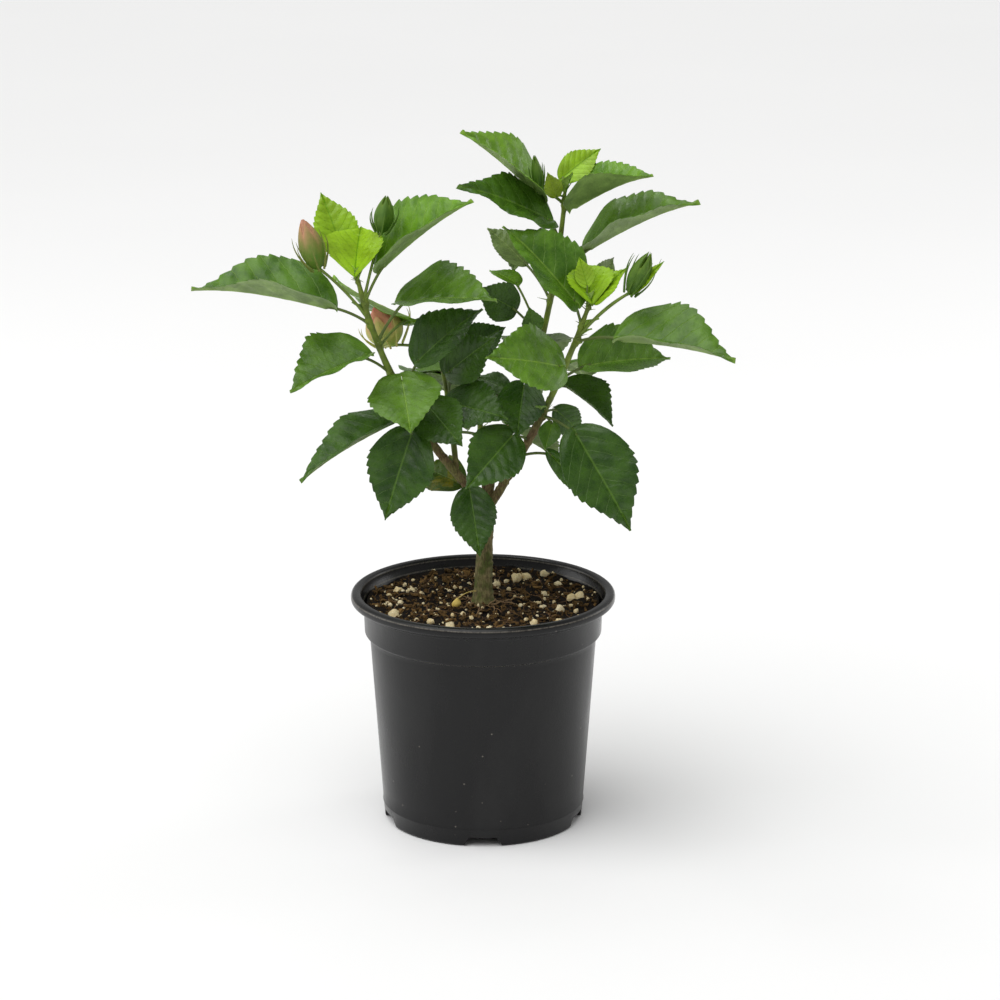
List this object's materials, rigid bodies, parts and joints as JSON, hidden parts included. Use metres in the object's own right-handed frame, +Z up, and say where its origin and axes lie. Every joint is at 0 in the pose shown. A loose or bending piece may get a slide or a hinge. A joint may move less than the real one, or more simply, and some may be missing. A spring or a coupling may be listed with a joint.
{
  "type": "potted hibiscus shrub",
  "caption": "Young hibiscus shrub with a forked woody trunk, toothed oval leaves and closed buds, growing in a round nursery pot.",
  "frame": {"origin": "centre of the pot's flat underside", "axes": "+Z up along the plant's height, +X to the right and -Y towards the viewer when the pot is seen from the front"},
  "size_m": [0.3105, 0.1783, 0.4126],
  "materials": {
    "pot_plastic": "satin black moulded plastic with fine scuffs",
    "potting_mix": "damp peat and bark fibre with pale perlite grains",
    "bark": "olive-brown young bark with lenticels and leaf scars",
    "green_stem": "smooth green semi-woody stem",
    "foliage": "glossy veined leaves, mid green to yellow-green when young"
  },
  "bodies": {
    "root": {"pot": "pot_plastic", "potting_mix": "potting_mix", "trunk": "bark", "left_bough": "bark", "right_bough": "bark", "centre_bough": "bark", "back_stem": "green_stem", "inner_stem": "green_stem", "fork_foliage": "foliage", "left_low_foliage": "foliage", "left_middle_foliage": "foliage", "left_outer_foliage": "foliage", "left_inner_foliage": "foliage", "left_far_foliage": "foliage", "left_high_foliage": "foliage", "left_tip_foliage": "foliage", "inner_low_foliage": "foliage", "inner_high_foliage": "foliage", "inner_tip_foliage": "foliage", "right_fork_foliage": "foliage", "right_low_foliage": "foliage", "right_middle_foliage": "foliage", "right_far_foliage": "foliage", "right_high_foliage": "foliage", "right_tip_foliage": "foliage", "centre_low_foliage": "foliage", "centre_middle_foliage": "foliage", "centre_side_foliage": "foliage", "centre_high_foliage": "foliage", "centre_tip_foliage": "foliage", "back_low_foliage": "foliage", "back_tip_foliage": "foliage"}
  },
  "joints": []
}
